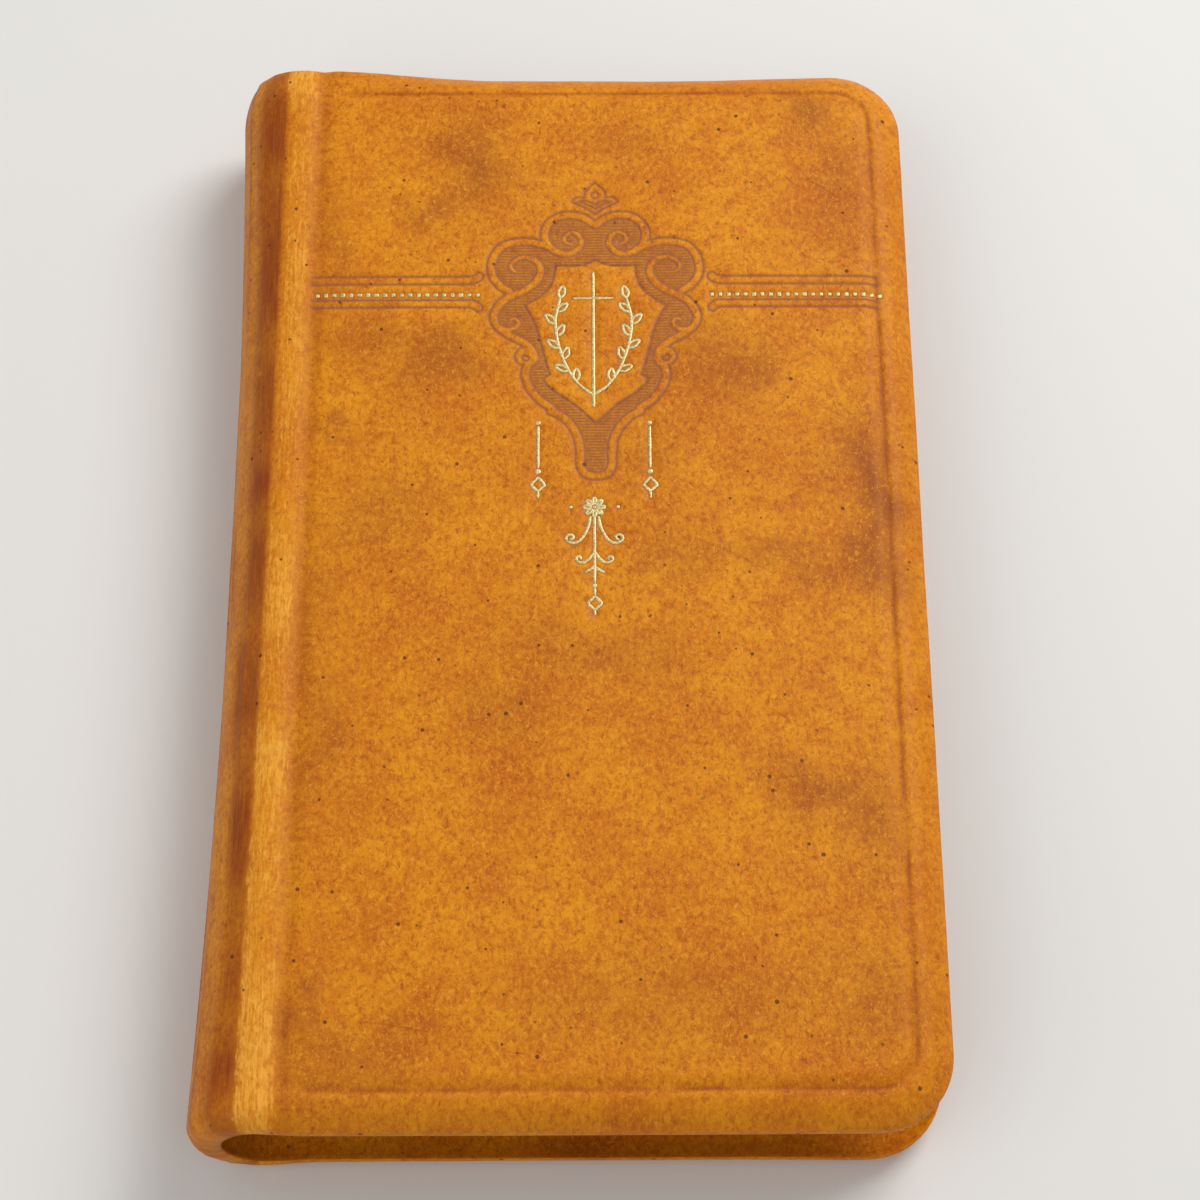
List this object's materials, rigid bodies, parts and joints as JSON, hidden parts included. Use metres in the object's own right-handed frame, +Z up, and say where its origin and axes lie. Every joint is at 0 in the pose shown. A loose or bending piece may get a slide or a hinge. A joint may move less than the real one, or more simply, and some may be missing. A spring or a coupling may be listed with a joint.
{
  "type": "antique leather book",
  "caption": "Small limp leather prayer book lying closed: round spine, soft drooping rims, tooled scroll frame on the front, two covers that open.",
  "frame": {"origin": "on the table, under the middle of the closed book", "axes": "+X from spine to fore-edge, +Y from tail to head, +Z up through the front cover"},
  "size_m": [0.088, 0.145, 0.02],
  "materials": {
    "cover_leather": "mottled tan calf, worn paler at the hinges",
    "page_paper": "aged cream leaves, trimmed edges",
    "endpaper": "aged cream wove paper",
    "board_card": "flexible grey-brown card",
    "mull_cloth": "open starched cloth, glued",
    "headband_silk": "striped woven silk",
    "gilt": "pale gold leaf, tooled"
  },
  "bodies": {
    "block": {"pages": "page_paper", "front_flyleaf": "endpaper", "back_flyleaf": "endpaper", "mull_lining": "mull_cloth", "head_band": "headband_silk", "tail_band": "headband_silk", "spine_leather": "cover_leather", "spine_inlay": "board_card"},
    "front_cover": {"front_leather": "cover_leather", "front_board": "board_card", "front_pastedown": "endpaper"},
    "back_cover": {"back_leather": "cover_leather", "back_board": "board_card", "back_pastedown": "endpaper"}
  },
  "joints": [
    {"name": "front_hinge", "type": "hinge", "parent": "block", "child": "front_cover", "pos_m": [-0.037, 0, 0.02], "axis": [0, -1, 0], "range_deg": [0, 180]},
    {"name": "back_hinge", "type": "hinge", "parent": "block", "child": "back_cover", "pos_m": [-0.037, 0, 0], "axis": [0, 1, 0], "range_deg": [0, 180]}
  ]
}
